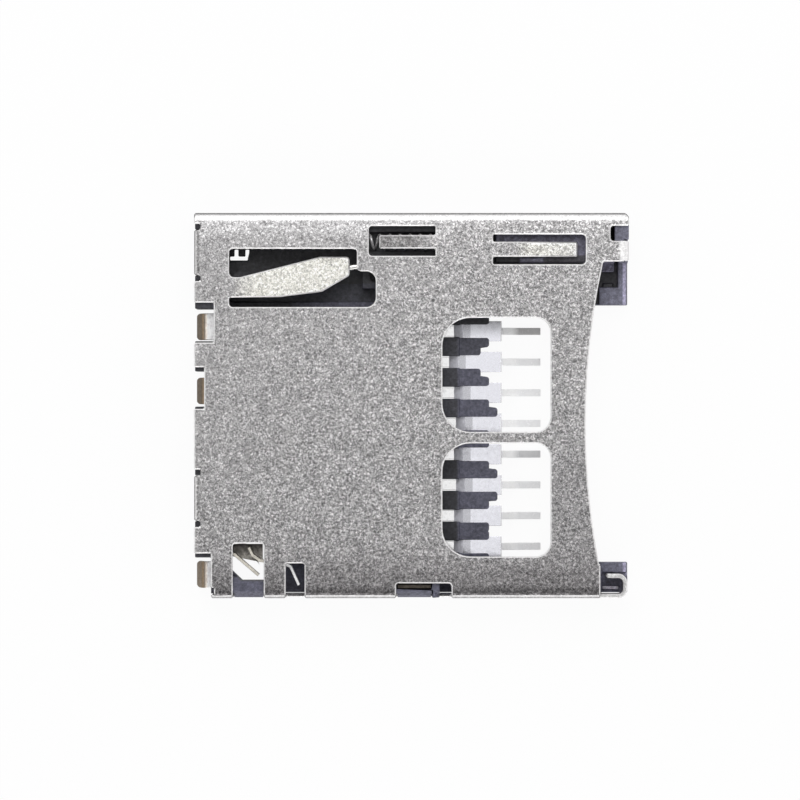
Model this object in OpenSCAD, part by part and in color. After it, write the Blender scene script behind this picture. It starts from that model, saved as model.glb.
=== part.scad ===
// Surface mount connector for a small memory card, of the kind that is pushed once to lock
// and once more to eject. It stands on the board at z = 0 and the card enters from +X.
// The slider is drawn at its eject stop, with no card in.

/* [Cover] */
// Height above the board
body_height = 1.68; // [1.66:0.02:1.9]
// Thickness of the cover sheet
sheet_t = 0.15; // [0.12:0.01:0.16]
// Outer radius of the folded side edges
bend_r = 0.3; // [0.25:0.01:0.36]
// Outer radius where the small tabs fold down
tab_bend_r = 0.22; // [0.2:0.01:0.26]
// Radius of the concave mouth edge that clears a fingertip
mouth_arc_r = 26.6; // [24:0.2:32]
// How far the middle of the mouth edge lies behind the mouth corners
mouth_arc_depth = 1.545; // [1.3:0.05:1.8]
// How far the solder feet stand out past the walls
foot_out = 0.06; // [0.03:0.01:0.12]
// Distance from the rear to the hatch over the switch contact
hatch_setback = 1.375; // [1.3:0.025:1.45]
// Length of the hatch
hatch_len = 1.1; // [1:0.02:1.16]
// Distance from the rear to the slot over the tip of the switch lever
tip_slot_setback = 3.255; // [3.2:0.005:3.3]
// Length of the slot over the tip of the switch lever
tip_slot_len = 0.67; // [0.6:0.01:0.72]
// Distance from the rear to the slot for the side lug
lug_slot_setback = 7.175; // [7:0.025:7.3]
// Length of the slot for the side lug
lug_slot_len = 1.97; // [1.9:0.01:2.05]

/* [Card] */
// Width of the card
card_w = 11; // [10.9:0.05:11.1]
// How much narrower the leading part of the card is
card_shoulder = 1.3; // [1.2:0.05:1.4]
// Height of the underside of the card above the board
card_base = 0.72; // [0.68:0.01:0.76]
// Side play between the card and its rails
card_gap = 0.06; // [0.03:0.01:0.1]

/* [Terminals] */
// Number of card contacts
contact_count = 8; // [6:1:8]
// Distance from one contact to the next
contact_pitch = 1.1; // [1.05:0.01:1.12]
// Sheet thickness of the contacts
terminal_t = 0.1; // [0.08:0.01:0.12]
// Width of the contact plates
plate_w = 0.72; // [0.64:0.02:0.78]
// Width of the spring arms
arm_w = 0.36; // [0.3:0.02:0.42]
// Width of the solder tails
tail_w = 0.25; // [0.2:0.01:0.34]
// Length of each flat solder tail
tail_len = 0.78; // [0.6:0.02:0.9]
// Distance from the mouth corners back to the ends of the tails
tail_setback = 3.1; // [2.9:0.05:3.4]
// Distance from the mouth corners back to the contact points
point_setback = 12.0; // [11.8:0.05:12.2]
// How far the contact points rise above the underside of the card
point_rise = 0.3; // [0.2:0.02:0.36]
// Staggering of the plate ends
plate_stagger = 0.29; // [0.2:0.01:0.34]
// Sheet thickness of the rear tails
rear_tail_t = 0.14; // [0.1:0.01:0.16]
// Width of the rear tails
nail_w = 0.95; // [0.8:0.01:1]
// How far the rear tails lean out from their bend to the board
nail_lean = 0.2; // [0.12:0.01:0.24]
// Thickness of the switch blades
blade_t = 0.1; // [0.08:0.01:0.12]
// Height of the switch blades
blade_h = 0.6; // [0.5:0.02:0.64]
// How far the switch lever stands out into the card slot
lever_reach = 0.43; // [0.34:0.01:0.48]

/* [Housing] */
// Width of the rail beside the card on the switch side
rail_w = 0.58; // [0.55:0.01:0.64]
// Thickness of the floor under the slider
slider_floor = 0.3; // [0.26:0.01:0.34]
// Height of the floor under the card
card_floor = 0.62; // [0.58:0.01:0.64]
// Thickness of the wall that stops the card and the spring
rear_wall = 0.95; // [0.9:0.01:1]
// Depth of the pockets that the rear tails stand in
tail_pocket = 0.57; // [0.5:0.01:0.6]
// Thickness of the wall that stops the slider at the mouth
front_wall = 0.345; // [0.3:0.005:0.4]
// Thickness of the wall beside the slider
side_wall = 0.18; // [0.15:0.01:0.22]
// Radius of the boss that the cam pin stands in
boss_r = 0.38; // [0.34:0.01:0.4]
// Distance from the pivot of the cam pin to the wall that stops the card
pivot_room = 0.655; // [0.6:0.005:0.7]
// Width of the fingers that hold the contact plates
finger_w = 0.62; // [0.56:0.01:0.66]
// Height of the fingers at the contact plates
finger_h = 0.58; // [0.56:0.01:0.6]

/* [Slider and spring] */
// Full travel of the slider from eject to the end of the push
slider_travel = 3.4; // [3:0.1:3.6]
// Length of the slider nose in front of the hook
nose_len = 4.15; // [4:0.05:4.4]
// Width of the slider nose
nose_w = 1.36; // [1.3:0.02:1.5]
// Length of the cam section behind the hook
cam_len = 4.85; // [4.7:0.05:5]
// Wall behind the cam groove
cam_wall = 0.26; // [0.2:0.01:0.3]
// Room between the fully pushed slider and the boss
boss_gap = 0.55; // [0.5:0.01:0.6]
// Height of the top of the cam section above the board
cam_top = 1.0; // [0.96:0.01:1.04]
// Depth of the cam groove
groove_depth = 0.38; // [0.3:0.02:0.4]
// Running clearance around the slider
slide_gap = 0.04; // [0.03:0.01:0.06]
// Outside diameter of the spring
spring_od = 0.58; // [0.5:0.02:0.6]
// Diameter of the spring wire
spring_wire = 0.1; // [0.08:0.01:0.12]
// Number of turns of the spring
spring_turns = 23; // [16:1:25]
// Diameter of the cam pin wire
pin_d = 0.24; // [0.2:0.01:0.26]
// Sideways distance between the two lanes of the cam
lane_shift = 0.45; // [0.36:0.01:0.48]
// Sideways distance from the pivot of the cam pin to the outer lane
pivot_shift = 0.66; // [0.6:0.02:0.7]

/* [Hidden] */
fit = 0.02;
mould_gap = 0.01;
cut = 0.5;

// The pieces in a row from the rear to the mouth give the length
rear_inset = 0.03;
stop_gap = 0.14;
slider_room = slider_travel + boss_gap + boss_r;
rear_len = rear_inset + rear_wall + pivot_room;
body_length = rear_len + slider_room + cam_len + nose_len + stop_gap + front_wall;
mouth_x = body_length / 2;
rear_x = -body_length / 2;
housing_rear = rear_x + rear_inset;
stop_x = housing_rear + rear_wall;

// The pieces side by side give the width
nose_gap = 0.14;
slider_side = nose_gap + nose_w + slide_gap + side_wall;
housing_y = (rail_w + card_gap + card_w + slider_side) / 2;
inner_y = housing_y + fit;
half_w = inner_y + sheet_t;

cover_under = body_height - sheet_t;
housing_top = cover_under - fit;
wall_foot = 0.15;
tab_bend = body_height - tab_bend_r;

card_nose_w = card_w - card_shoulder;
card_low_y = -housing_y + rail_w + card_gap;
nose_high_y = card_low_y + card_nose_w;
card_high_y = card_low_y + card_w;

row_y = card_low_y + card_nose_w / 2;
function contact_y(i) = row_y + ((contact_count - 1) / 2 - i) * contact_pitch;
row_top = contact_y(0);
row_low = contact_y(contact_count - 1);

tail_x = mouth_x - tail_setback;
slope_x = tail_x - tail_len;
plate_end_x = slope_x - 0.62;
plate_len = 1.7;
plate_x = plate_end_x - plate_len;
plate_z = 0.4;
strip_z = 0.1;
point_x = mouth_x - point_setback;
point_z = card_base + point_rise;
bar_end_x = plate_x - 0.64;
bar_len = 1.6;
bar_x = bar_end_x - bar_len;
slot_x = point_x - 1.0;

slider_front = mouth_x - front_wall - stop_gap;
hook_x = slider_front - nose_len;
slider_rear = hook_x - cam_len;
front_step = 0.2;
nose_y0 = card_high_y + nose_gap;
slider_y1 = nose_y0 + nose_w;
slider_z0 = slider_floor + slide_gap;
nose_top = cover_under - 0.25;

spring_r = spring_od / 2;
channel_w = spring_od + 2 * slide_gap;
spring_y = slider_y1 - 0.29 - channel_w / 2;

pin_r = pin_d / 2;
lane_r = pin_r + 0.03;
lane_end = lane_r + 0.05;
lane_side = lane_r + 0.03;
lane_y = spring_y - channel_w / 2 - 0.29 - lane_side;
cam_y0 = lane_y - lane_shift - lane_side - 0.25;
pin_x = slider_rear + cam_wall + lane_end;
groove_z = cam_top - groove_depth;
pin_z = cam_top + slide_gap + pin_r;
pin_leg_z = groove_z + slide_gap;
pivot_x = slider_rear - slider_room;
pivot_y = lane_y - pivot_shift;
pin_reach = norm([pin_x - pivot_x, lane_y - pivot_y]);
pin_angle = atan2(lane_y - pivot_y, pin_x - pivot_x);

spring_top = cover_under - 0.12;
spring_z = spring_top - spring_r;
spring_phase = 24;
spring_x0 = stop_x + fit;
spring_seat_x = slider_rear + 3.0;
spring_x1 = spring_seat_x - fit;

rail_in_y = -housing_y + rail_w;
blade_z = card_floor + 0.02;

window_w = 3.84;
window_x1 = tail_x + 0.31;
window_x0 = window_x1 - window_w;
hatch_x0 = rear_x + hatch_setback;
hatch_x1 = hatch_x0 + hatch_len;
tip_slot_x0 = rear_x + tip_slot_setback;
tip_slot_x1 = tip_slot_x0 + tip_slot_len;
lug_slot_x0 = rear_x + lug_slot_setback;
lug_slot_x1 = lug_slot_x0 + lug_slot_len;
stop_block_x = lug_slot_x0 + 1.28;
side_nail_y = rail_in_y - 0.58 * rail_w;
side_nail_x = [lug_slot_x0 + 0.05, lug_slot_x0 + 1.25];
foot_spans = [[2.485, 2.845], [4.085, 6.035], [10.795, 12.145]];
rear_tabs = [[half_w - 2.21, half_w - 0.61], [row_y - 2.9, row_y - 1.3]];
relief = 0.22;
rear_nails = [row_y + 4.01, row_y + 1.715];
switch_tail_y = rail_in_y + 0.06;

corner_x = mouth_x - 1.02;
corner_y0 = card_low_y + 0.44;
corner_y1 = nose_high_y - 0.07;
tab_y0 = card_high_y + 0.19;
tab_y1 = tab_y0 + 0.7;
notch_y1 = tab_y1 + 0.54;
notch_x = mouth_x - 0.66;

function unit(v) = v / norm(v);
function left_of(v) = [-v.y, v.x];
function mitre(a, b) = (a + b) / (1 + a * b);
function side_step(path, i) =
    i == 0 ? left_of(unit(path[1] - path[0]))
    : i == len(path) - 1 ? left_of(unit(path[i] - path[i - 1]))
    : mitre(left_of(unit(path[i] - path[i - 1])), left_of(unit(path[i + 1] - path[i])));

// Outline of a strip of thickness t along a path
function ribbon(path, t) = concat(
    [for (i = [0 : len(path) - 1]) path[i] + side_step(path, i) * t / 2],
    [for (i = [len(path) - 1 : -1 : 0]) path[i] - side_step(path, i) * t / 2]);

// Points that round the corner b between a and c
function corner_arc(a, b, c, r, steps) =
    let (u = unit(a - b))
    let (v = unit(c - b))
    let (half = acos(u * v) / 2)
    let (middle = b + unit(u + v) * r / sin(half))
    let (from = b + u * r / tan(half) - middle)
    let (to = b + v * r / tan(half) - middle)
    let (start = atan2(from.y, from.x))
    let (turn = (atan2(to.y, to.x) - start + 540) % 360 - 180)
    [for (k = [0 : steps]) middle + r * [cos(start + turn * k / steps), sin(start + turn * k / steps)]];

// A path whose inner corners are all rounded to radius r
function bent(path, r, steps = 5) = concat(
    [path[0]],
    [for (i = [1 : len(path) - 2]) each corner_arc(path[i - 1], path[i], path[i + 1], r, steps)],
    [path[len(path) - 1]]);

// A block from its lower and upper corners
module block(x, y, z) {
    translate([x[0], y[0], z[0]]) cube([x[1] - x[0], y[1] - y[0], z[1] - z[0]]);
}

// A flat outline in X and Y, raised from z0 to z1
module raised(z0, z1) {
    translate([0, 0, z0]) linear_extrude(z1 - z0) children();
}

// A side outline in X and Z, as wide as y0 to y1
module across(y0, y1) {
    translate([0, y1, 0]) rotate([90, 0, 0]) linear_extrude(y1 - y0) children();
}

// An end outline in Y and Z, as long as x0 to x1
module along(x0, x1) {
    translate([x0, 0, 0]) rotate([90, 0, 90]) linear_extrude(x1 - x0) children();
}

// A rectangle with its own radius on the left and on the right corners
module window(x, y, left_r, right_r) {
    translate([x[0] + left_r, y[0]]) square([x[1] - x[0] - left_r - right_r, y[1] - y[0]]);
    translate([x[0], y[0] + left_r]) square([left_r, y[1] - y[0] - 2 * left_r]);
    translate([x[1] - right_r, y[0] + right_r]) square([right_r, y[1] - y[0] - 2 * right_r]);
    for (side = [0, 1]) {
        translate([x[0] + left_r, side ? y[0] + left_r : y[1] - left_r]) circle(left_r, $fn = 48);
        translate([x[1] - right_r, side ? y[0] + right_r : y[1] - right_r]) circle(right_r, $fn = 48);
    }
}

// End view of a sheet folded down on both sides
module folded_outline(half, top, r) {
    translate([-half, wall_foot]) square([2 * half, top - r - wall_foot]);
    translate([r - half, wall_foot]) square([2 * half - 2 * r, top - wall_foot]);
    for (side = [-1, 1]) translate([side * (half - r), top - r]) circle(r, $fn = 48);
}

// Side view of a tab that leaves the cover to the left and folds down to z0
module tab_outline(x, z0) {
    difference() {
        translate([x + tab_bend_r, tab_bend]) circle(tab_bend_r, $fn = 48);
        translate([x + tab_bend_r, tab_bend]) circle(tab_bend_r - sheet_t, $fn = 48);
        translate([x + tab_bend_r, tab_bend - cut]) square([cut, 2 * cut]);
        translate([x - cut, tab_bend - 2 * cut]) square([4 * cut, 2 * cut]);
    }
    translate([x, z0]) square([sheet_t, tab_bend - z0]);
}

// Everything that is cut out of the flat top of the cover
module cover_cuts() {
    arc_x = mouth_x - mouth_arc_depth + mouth_arc_r;
    intersection() {
        translate([arc_x, row_y + 0.57]) circle(mouth_arc_r, $fn = 256);
        translate([mouth_x - 3, corner_y0 - 0.05]) square([4, tab_y0 - 0.03 - corner_y0 + 0.05]);
    }
    translate([corner_x, -half_w - 1]) square([2, corner_y0 - 0.05 + half_w + 1]);
    window([notch_x, mouth_x + 1], [tab_y1, notch_y1], 0.12, 0.12);
    window([window_x0, window_x1], [row_y + 0.26, row_top + 0.46], 1, 0.53);
    window([window_x0, window_x1], [row_low - 0.32, row_y - 0.15], 1, 0.53);
    arm_window();
    spring_slot();
    finger_slot();
    for (y = rear_tabs)
        translate([rear_x - 1, y[0] - relief]) square([1 + tab_bend_r, y[1] - y[0] + 2 * relief]);
    translate([rear_x - 1, rear_nails[0] - 0.58]) square([1 + tail_pocket + 0.13, 1.42]);
    translate([rear_x - 1, rear_nails[1] - 0.64]) square([1 + tail_pocket - 0.21, 1.48]);
    translate([rear_x - 1, -half_w - 1]) square([1 + tail_pocket + 0.03, 2.6]);
    window([hatch_x0, hatch_x1], [-half_w - 1, 1.96 - half_w], 0.12, 0.12);
    window([tip_slot_x0, tip_slot_x1], [-half_w - 1, 1.25 - half_w], 0.05, 0.1);
    window([lug_slot_x0, lug_slot_x1], [-half_w - 1, 0.54 - half_w], 0.1, 0.12);
    // Relief beside the rear tail and clipped corner at the mouth
    translate([rear_x + tail_pocket, 0.13 - half_w]) square([0.14, 0.25]);
    polygon([[mouth_x - 0.1, half_w], [mouth_x, half_w - 0.16], [mouth_x + 1, half_w - 0.16],
        [mouth_x + 1, half_w + 1], [mouth_x - 0.1, half_w + 1]]);
}

arm_root_x = pivot_x - 0.39;
arm_bend_x = arm_root_x + 0.35;
arm_tip_x = pin_x - 0.9;
arm_z = pin_z + pin_r + fit;

// Outline of the leaf arm that holds the cam pin down
module arm_plan() {
    polygon([[arm_root_x - 0.3, pivot_y - 0.54], [arm_root_x + 1.8, pivot_y - 0.52],
        [arm_root_x + 3.3, pivot_y - 0.33], [arm_tip_x, pivot_y + 0.25], [arm_tip_x, pivot_y + 0.8],
        [arm_tip_x - 0.03, pivot_y + 0.88], [arm_tip_x - 0.11, pivot_y + 0.91],
        [arm_tip_x - 1.05, pivot_y + 0.91],
        [arm_root_x + 0.39, pivot_y + 0.18], [arm_root_x - 0.3, pivot_y + 0.18]]);
}

// The piece between a square corner at p and a rounded one; way gives the quadrant
module corner_fill(p, r, way) {
    translate(p) difference() {
        translate([way[0] > 0 ? 0 : -r, way[1] > 0 ? 0 : -r]) square([r, r]);
        translate([way[0] * r, way[1] * r]) circle(r, $fn = 48);
    }
}

// Opening around the leaf arm
module arm_window() {
    step = [pin_x - 0.64, pivot_y + 0.39];
    difference() {
        union() {
            window([arm_root_x, step[0]], [pivot_y - 0.88, pivot_y + 1.19], 0.13, 0.13);
            window([pin_x - 1.2, pin_x + 0.03], [pivot_y - 0.88, step[1]], 0.1, 0.34);
            corner_fill(step, 0.13, [1, 1]);
        }
        translate([arm_root_x - 0.1, pivot_y - 0.54]) square([arm_bend_x - arm_root_x + 0.1, 0.72]);
        corner_fill([arm_root_x, pivot_y + 0.18], 0.18, [1, 1]);
        corner_fill([arm_root_x, pivot_y - 0.54], 0.08, [1, -1]);
    }
}

tongue_y = [spring_y - 0.26, spring_y + 0.22];
tongue_x = [slider_rear + 0.61, slider_rear + 2.4];

// Slot that leaves a tongue over the spring
module spring_slot() {
    difference() {
        window([slider_rear + 0.24, slider_rear + 2.61], [spring_y - 0.52, spring_y + 0.54], 0.12, 0.06);
        translate([slider_rear + 0.61, tongue_y[0]]) square([3, tongue_y[1] - tongue_y[0]]);
    }
}

finger_y = [nose_y0 + 0.19, nose_y0 + 0.72];
finger_x = [hook_x + 0.9, hook_x + 2.81];

// Slot that leaves a finger over the nose of the slider
module finger_slot() {
    difference() {
        window([hook_x - 0.2, hook_x + 3.1], [nose_y0 - 0.08, nose_y0 + 0.98], 0.08, 0.15);
        translate([hook_x - 0.4, finger_y[0]])
            square([finger_x[1] - hook_x + 0.4, finger_y[1] - finger_y[0]]);
    }
}

// Side view of a strip of the cover that bends down past x0 to its tip at x1
module drooped(x0, x1, tip_z) {
    polygon([[x0, cover_under], [x1, tip_z], [x1, tip_z + sheet_t], [x0, body_height]]);
}

module cover() {
    color("silver") {
        difference() {
            along(rear_x, mouth_x) difference() {
                folded_outline(half_w, body_height, bend_r);
                folded_outline(inner_y, cover_under, bend_r - sheet_t);
                translate([-inner_y, 0]) square([2 * inner_y, wall_foot * 2]);
            }
            raised(cover_under - 0.95, body_height + cut) cover_cuts();
            block([corner_x, mouth_x + 1], [-half_w - 1, 0], [0, body_height + 1]);
            block([mouth_x - tab_bend_r, mouth_x + 1], [tab_y0 - 0.1, tab_y1 + 0.1], [0, body_height + 1]);
            block([rear_x - 1, rear_x + tail_pocket + 0.03], [-half_w - 1, cut - inner_y], [0, 3]);
            arm_space();
            block(finger_x, finger_y, [0, body_height + 1]);
            block([tongue_x[0] - 0.1, tongue_x[1]], tongue_y, [0, body_height + 1]);
            for (x = lug_x) block([x - 0.7, x + 0.7], [inner_y - cut, half_w + cut], [0.5, 0.95]);
        }
        intersection() {
            across(-half_w, half_w) drooped(arm_bend_x - 0.01, arm_tip_x, arm_z);
            raised(0, body_height) arm_plan();
        }
        intersection() {
            across(0, half_w) drooped(finger_x[0] - 0.01, finger_x[1], nose_top + slide_gap);
            raised(0, body_height) window([finger_x[0] - 0.2, finger_x[1]], finger_y, 0.03, 0.07);
        }
        intersection() {
            across(0, half_w) drooped(tongue_x[1] + 0.01, tongue_x[0], spring_top + slide_gap);
            raised(0, body_height) window([tongue_x[0], tongue_x[1] + 0.2], tongue_y, 0.05, 0.03);
        }
        for (y = rear_tabs) across(y[0], y[1]) tab_outline(rear_x, 0.55);
        across(tab_y0, tab_y1) mirror([1, 0]) tab_outline(-mouth_x, 0.85);
        for (side = [0, 1]) mirror([0, side, 0]) cover_feet();
        raised(0.5, 1.35) polygon(ribbon(guard_path, sheet_t));
    }
}

lug_x = [rear_x + 3.2, mouth_x - 3.2];
guard_y = card_low_y - 0.02;
guard_path = bent([[corner_x - 0.2, sheet_t / 2 - half_w], [mouth_x - 0.12, sheet_t / 2 - half_w],
    [mouth_x - 0.12, guard_y], [mouth_x - 0.8, guard_y]], 0.24);

// Room for the drooping part of the leaf arm
module arm_space() {
    block([arm_bend_x, arm_tip_x], [pivot_y - 0.54, pivot_y + 0.91], [0, body_height + 1]);
}

// Feet on one side wall that are soldered to the board
module cover_feet() {
    for (x = foot_spans) {
        block([rear_x + x[0], rear_x + x[1]], [inner_y, half_w], [0, wall_foot]);
        block([rear_x + x[0], rear_x + x[1]], [half_w, half_w + foot_out], [0, wall_foot - 0.04]);
    }
}

module housing() {
    color("#2b2a35") difference() {
        union() {
            intersection() {
                union() {
                    housing_floor();
                    housing_walls();
                }
                along(housing_rear, mouth_x) housing_end();
            }
            housing_lugs();
        }
        rear_pockets();
        floor_openings();
        slider_pocket();
        switch_cavity();
        for (i = [0 : contact_count - 1]) contact_solid(i, mould_gap);
        for (y = rear_nails) rear_tail_solid(y - nail_w / 2, y + nail_w / 2, mould_gap);
        switch_contact_solid(mould_gap);
        switch_lever_solid(mould_gap);
        side_nail_solid(mould_gap);
    }
}

// End view of the space inside the folded cover
module housing_end() {
    r = bend_r - sheet_t - fit;
    translate([-housing_y, 0]) square([2 * housing_y, housing_top - r]);
    translate([r - housing_y, 0]) square([2 * housing_y - 2 * r, housing_top]);
    for (side = [-1, 1]) translate([side * (housing_y - r), housing_top - r]) circle(r, $fn = 48);
}

// Pockets in the back of the housing for the tabs of the cover and for the rear tails
module rear_pockets() {
    tab_x = sheet_t + fit;
    for (y = rear_tabs) across(y[0] - fit, y[1] + fit)
        polygon([[rear_x - 1, -1], [rear_x + tab_x, -1], [rear_x + tab_x, tab_bend - 0.04],
            [rear_x + tab_x + 0.12, 3], [rear_x - 1, 3]]);
    block([rear_x - 1, rear_x + tail_pocket + 0.15], [rear_nails[0] - 0.53, rear_nails[0] + 0.62], [-1, 3]);
    block([rear_x - 1, rear_x + tail_pocket - 0.21], [rear_nails[1] - 0.56, rear_nails[1] + 0.69], [-1, 3]);
    block([rear_x - 1, rear_x + tail_pocket + 0.03], [-half_w - 1, switch_tail_y + 0.64], [-1, 3]);
}

// Plates under the card and the slider, with the fingers that hold the contacts
module housing_floor() {
    block([housing_rear, bar_end_x], [-housing_y, housing_y], [0, card_floor]);
    block([housing_rear, mouth_x], [corner_y1, housing_y], [0, slider_floor]);
    block([bar_end_x - cut, mouth_x], [-housing_y, rail_in_y], [0, card_floor]);
    for (i = [0 : contact_count]) finger(i);
    lip([corner_x, mouth_x], [rail_in_y - 0.1, corner_y0]);
    lip([corner_x, mouth_x], [corner_y1, corner_y1 + 0.63]);
    block([corner_x + 0.15, corner_x + 0.5], [corner_y1 + 0.6, corner_y1 + 0.78], [0, card_floor - 0.15]);
    lip([mouth_x - front_wall, mouth_x], [corner_y1 + 0.1, nose_y0 + 0.1]);
}

// Corner ledge with a lead in for the card
module lip(x, y) {
    across(y[0], y[1]) polygon([[x[0], 0], [x[1], 0], [x[1], card_floor - 0.3],
        [x[1] - 0.06, card_floor - 0.12], [x[1] - 0.18, card_floor], [x[0], card_floor]]);
}

// How far the two halves of each finger reach, upper half first
finger_steps = [[1, 1], [1, 0], [0, 1], [1, 2], [1, 1], [1, 2], [2, 1], [1, 1], [1, 1]];

// One finger between two contact plates
module finger(i) {
    y = contact_y(i) + contact_pitch / 2;
    step = finger_steps[i];
    root = plate_x + 0.2;
    reach = plate_x + 0.95;
    ends = [reach + 0.3 * step[0], reach + 0.3 * step[1]];
    half = finger_w / 2;
    block([bar_end_x - 0.1, root], [y - half - 0.03, y + half + 0.03], [0, card_floor]);
    raised(0, finger_h) {
        window([root - 0.1, ends[0]], [y - 0.02, y + half], 0.02, 0.1);
        window([root - 0.1, ends[1]], [y - half, y + 0.02], 0.02, 0.1);
        translate([root - 0.1, y - 0.1]) square([min(ends) - root, 0.2]);
    }
}

module housing_walls() {
    block([housing_rear, stop_x], [-housing_y, housing_y], [0, housing_top]);
    block([housing_rear, mouth_x], [housing_y - side_wall, housing_y], [0, housing_top]);
    block([housing_rear, corner_x + 0.1], [-housing_y, rail_in_y], [0, housing_top]);
    block([mouth_x - front_wall, mouth_x], [nose_y0, housing_y], [0, housing_top]);
    block([slider_front - 0.1 * front_step, mouth_x], [tab_y1, housing_y], [0, housing_top]);
    raised(0, pin_z - pin_r - slide_gap) translate([pivot_x, pivot_y]) circle(boss_r, $fn = 48);
}

// Lugs that snap into the side walls of the cover
module housing_lugs() {
    for (x = lug_x) along(x - 0.65, x + 0.65)
        polygon([[housing_y - 0.1, 0.4], [housing_y, 0.53], [half_w - 0.02, 0.53], [half_w - 0.02, 0.65],
            [housing_y, 0.92], [housing_y - 0.1, 0.92]]);
    along(hatch_x0 + 0.03, hatch_x1 - 0.03)
        polygon([[0.02 - half_w, 0.7], [0.02 - half_w, 1.0], [0.2 - half_w, 1.25], [0.6 - half_w, 1.25],
            [0.6 - half_w, 0.7]]);
    along(lug_slot_x0 + 0.05, lug_slot_x0 + 1.25)
        polygon([[0.02 - half_w, 0.7], [0.02 - half_w, 1.0], [0.14 - half_w, 1.25], [0.3 - half_w, 1.25],
            [0.3 - half_w, 0.7]]);
    // Stop block beside the lug, sloped towards the mouth
    across(0.02 - half_w, 0.5 - half_w) polygon([[stop_block_x, 0.7], [stop_block_x, housing_top],
        [stop_block_x + 0.1, housing_top], [stop_block_x + 0.27, housing_top - 0.3],
        [stop_block_x + 0.27, 0.7]]);
}

module floor_openings() {
    // One slot under each spring arm
    for (i = [0 : contact_count - 1])
        block([slot_x, bar_x], [contact_y(i) - arm_w / 2 - 0.15, contact_y(i) + arm_w / 2 + 0.15], [-1, 1]);
    // Slots beside the foot of the cam pin
    block([arm_root_x - 0.02, arm_root_x + 0.62], [pivot_y + 0.82, pivot_y + 0.96], [-1, 1]);
    for (x = [0.14, 0.53])
        block([arm_root_x + x, arm_root_x + x + 0.14], [pivot_y + 0.95, pivot_y + 1.21], [-1, 1]);
    // Hatch under the switch contact
    raised(-1, 3) difference() {
        translate([hatch_x0 - 0.1, rail_in_y - 0.14]) square([hatch_len + 0.2, 1.44]);
        translate([hatch_x0, rail_in_y]) polygon([[-0.2, 0.33], [0.4, -0.24], [-0.3, -1]]);
    }
    // Bore for the foot of the cam pin
    translate([pivot_x, pivot_y, slider_floor]) cylinder(h = 2, r = pin_r + 0.03, $fn = 32);
}

// Free space that the slider, the spring and the pin move in
module slider_pocket() {
    difference() {
        block([stop_x, mouth_x - front_wall], [corner_y1 + 0.11, housing_y - side_wall], [slider_floor, 3]);
        translate([pivot_x, pivot_y, 0]) cylinder(h = pin_z - pin_r - slide_gap, r = boss_r, $fn = 48);
        lip([corner_x, mouth_x], [corner_y1, corner_y1 + 0.63]);
        block([corner_x + 0.15, corner_x + 0.5], [corner_y1 + 0.6, corner_y1 + 0.78], [0, card_floor - 0.15]);
        block([slider_front - 0.1 * front_step, mouth_x], [tab_y1, housing_y], [0, housing_top]);
    }
    across(tab_y0 - 0.05, tab_y1 + 0.05) polygon([[mouth_x + 1, 0.8], [mouth_x - sheet_t - fit, 0.8],
        [mouth_x - sheet_t - fit, tab_bend - 0.04], [mouth_x - sheet_t - fit - 0.12, 3], [mouth_x + 1, 3]]);
}

// Pockets in the rail for the lever of the switch and the side nail, and room for the guard at the mouth
module switch_cavity() {
    block([tip_slot_x0 - 0.15, tip_slot_x1 + 0.2], [-half_w, rail_in_y + cut], [0.3, 3]);
    block([stop_block_x + 0.27, lug_slot_x1 + 0.03], [-half_w, side_nail_y + 0.16], [0.3, 3]);
    block([side_nail_x[0] - 0.05, side_nail_x[1] + 0.04], [side_nail_y - 0.12, side_nail_y + 0.14], [0.9, 3]);
    difference() {
        block([corner_x + 0.1, mouth_x + 1], [-half_w - 1, guard_y + 0.1], [0.46, 3]);
        block([corner_x + 0.125, mouth_x - 0.335], [guard_y - 0.5, guard_y - 0.38], [0, card_floor + 0.2]);
    }
    block([corner_x - 0.04, mouth_x + 1], [-half_w, guard_y + 0.1], [card_floor + 0.2, 3]);
}

// Side view of contact i from the contact point to the solder tail
function contact_path(i) =
    let (end_x = plate_x + plate_stagger * plate_steps[i])
    let (z = terminal_t / 2)
    bent([[point_x - 0.62, point_z - 0.34], [point_x - 0.02, point_z - z], [point_x + 0.1, point_z - z],
        [bar_x - 0.35, strip_z + 0.12], [bar_x + 0.3, strip_z + z], [end_x + 0.03, strip_z + z],
        [end_x + 0.3, plate_z - 0.05 + z], [end_x + 0.6, plate_z + z], [plate_end_x, plate_z + z],
        [slope_x, z], [tail_x, z]], 0.1, 3);

plate_steps = [0, -0.6, 0, 0.25, 0, 0.25, 0, 0];

// Contact i, made larger all round by grow
module contact_solid(i, grow) {
    y = contact_y(i);
    left_x = plate_x + plate_stagger * plate_steps[i];
    path = contact_path(i);
    w = [arm_w / 2 + grow, plate_w / 2 + grow, tail_w / 2 + grow];
    intersection() {
        across(y - w[1], y + w[1]) polygon(ribbon(path, terminal_t + 2 * grow));
        raised(-1, 3) {
            translate([point_x - 1, y - w[0]]) square([left_x - point_x + 1, 2 * w[0]]);
            translate([left_x - grow, y - w[1]]) square([plate_end_x - left_x + 2 * grow, 2 * w[1]]);
            translate([plate_end_x, y - w[2]]) square([tail_x - plate_end_x + grow, 2 * w[2]]);
        }
    }
}

module contact(i) {
    color("#c9c8d2") contact_solid(i, 0);
}

// Rear tail that leaves the housing, leans down to the board and ends in rounded corners
module rear_tail_solid(y0, y1, grow) {
    t = rear_tail_t;
    tip_x = rear_x + rear_inset + 0.54 * t;
    root_z = 0.62 - t / 2;
    path = bent([[tip_x - 0.18 * nail_lean, -0.18 * root_z], [tip_x + nail_lean, root_z],
        [stop_x - 0.1, root_z]], 0.12, 4);
    intersection() {
        across(y0 - grow, y1 + grow) polygon(ribbon(path, t + 2 * grow));
        raised(-grow, 3) window([rear_x + rear_inset - grow, stop_x], [y0 - grow, y1 + grow], 0.14, 0.02);
    }
}

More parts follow.
